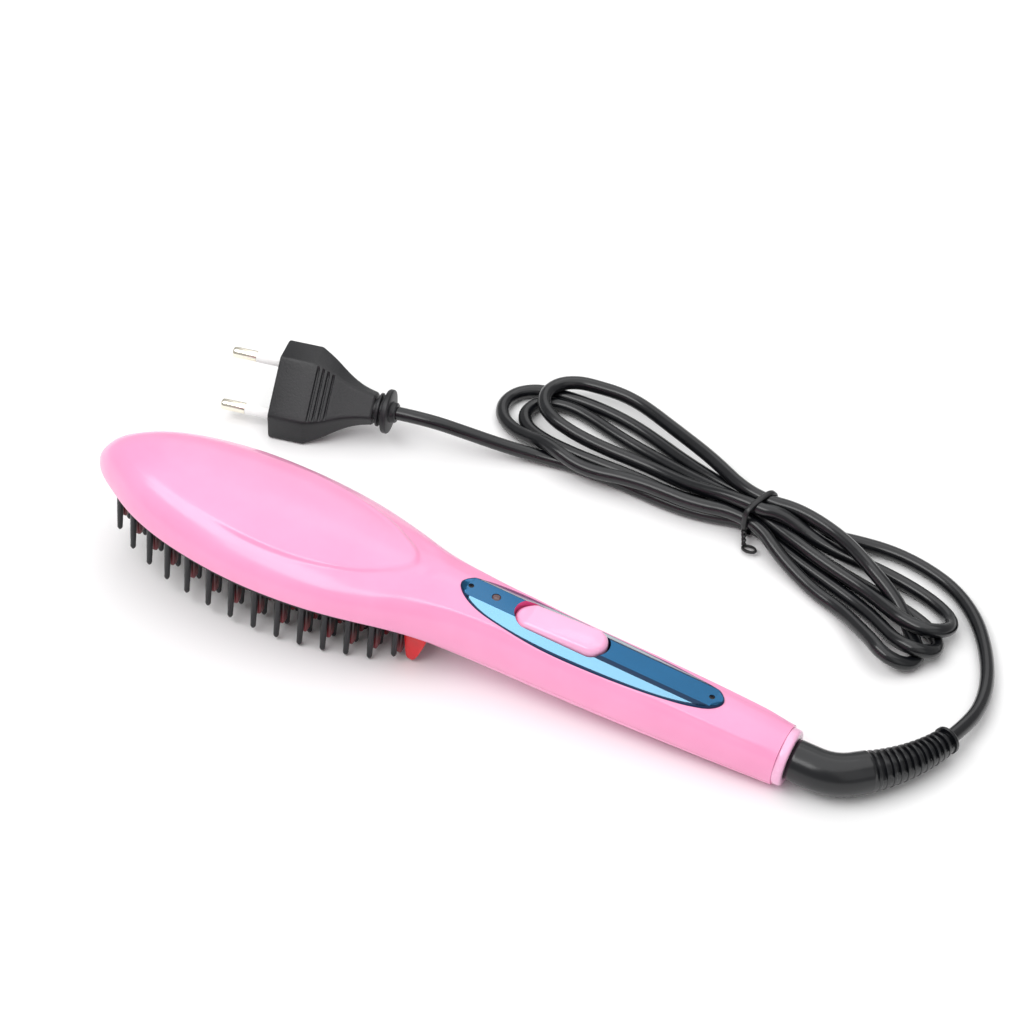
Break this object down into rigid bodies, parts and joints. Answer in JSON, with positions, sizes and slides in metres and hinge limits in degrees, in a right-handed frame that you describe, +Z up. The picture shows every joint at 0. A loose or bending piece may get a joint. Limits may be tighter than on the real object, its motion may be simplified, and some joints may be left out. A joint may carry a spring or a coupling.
{
  "type": "hot comb",
  "caption": "Heated straightening comb in brush form: oval bristle head, round handle with lens and rocker, swivel cord with tied hank and flat two-pin plug.",
  "frame": {"origin": "middle of the comb's footprint on the surface it rests on, without its cord", "axes": "+X along the body towards the tail, +Z up; the comb lies on its bristle tips and its tail"},
  "size_m": [0.2939, 0.1655, 0.0447],
  "materials": {
    "pink_shell": "glossy moulded plastic",
    "pale_pink": "glossy moulded plastic",
    "blue_lens": "polished tinted acrylic",
    "black_nylon": "satin nylon",
    "red_ceramic": "ceramic coating",
    "black_rubber": "satin soft vinyl",
    "black_plug": "satin moulded vinyl",
    "pale_sleeve": "smooth",
    "plated_brass": "nickel plated",
    "brass": "plain",
    "steel": "zinc plated",
    "dark_screw": "blackened",
    "aluminium": "plain",
    "alumina": "fired ceramic",
    "mica": "sheet",
    "circuit_green": "solder resist",
    "component_yellow": "moulded",
    "component_black": "moulded",
    "led_clear": "tinted epoxy",
    "white_wire": "silicone",
    "fuse_glass": "smooth"
  },
  "bodies": {
    "cord_set": {"strain_relief": "black_rubber", "cord_tail": "black_rubber", "cord_hank": "black_rubber", "cord_tie": "black_rubber", "cord_lead": "black_rubber", "plug_body": "black_plug", "plug_pins": "plated_brass", "pin_sleeves": "pale_sleeve", "swivel_rotor": "black_plug", "slip_rings": "brass"},
    "housing": {"back_shell": "pink_shell", "front_shell": "pink_shell", "tail_collar": "pale_pink", "display_lens": "blue_lens", "rocker_pin": "steel", "lens_screws": "dark_screw", "led_indicator": "led_clear", "control_pcb": "circuit_green", "display_module": "component_black", "rocker_switch": "component_black", "mains_capacitor": "component_yellow", "triac": "component_black", "pcb_fuse": "fuse_glass", "heat_plate": "red_ceramic", "bristle_carrier": "black_nylon", "heated_teeth": "red_ceramic", "bristles": "black_nylon", "heater_elements": "alumina", "insulation_sheet": "mica", "heater_clamp": "steel", "thermal_fuse": "steel", "thermistor": "component_black", "plate_screws": "steel", "handle_screws": "steel", "heater_leads": "white_wire", "swivel_contacts": "brass"},
    "rocker": {"power_rocker": "pink_shell"}
  },
  "joints": [
    {"name": "cord_swivel", "type": "hinge", "parent": "cord_set", "child": "housing", "pos_m": [0.12435, 0, 0.00916], "axis": [0.996, 0, -0.0892], "continuous": true},
    {"name": "rocker_tilt", "type": "hinge", "parent": "housing", "child": "rocker", "pos_m": [0.04414, 0, 0.02393], "axis": [0, 1, 0], "range_deg": [0, 7.2]}
  ]
}
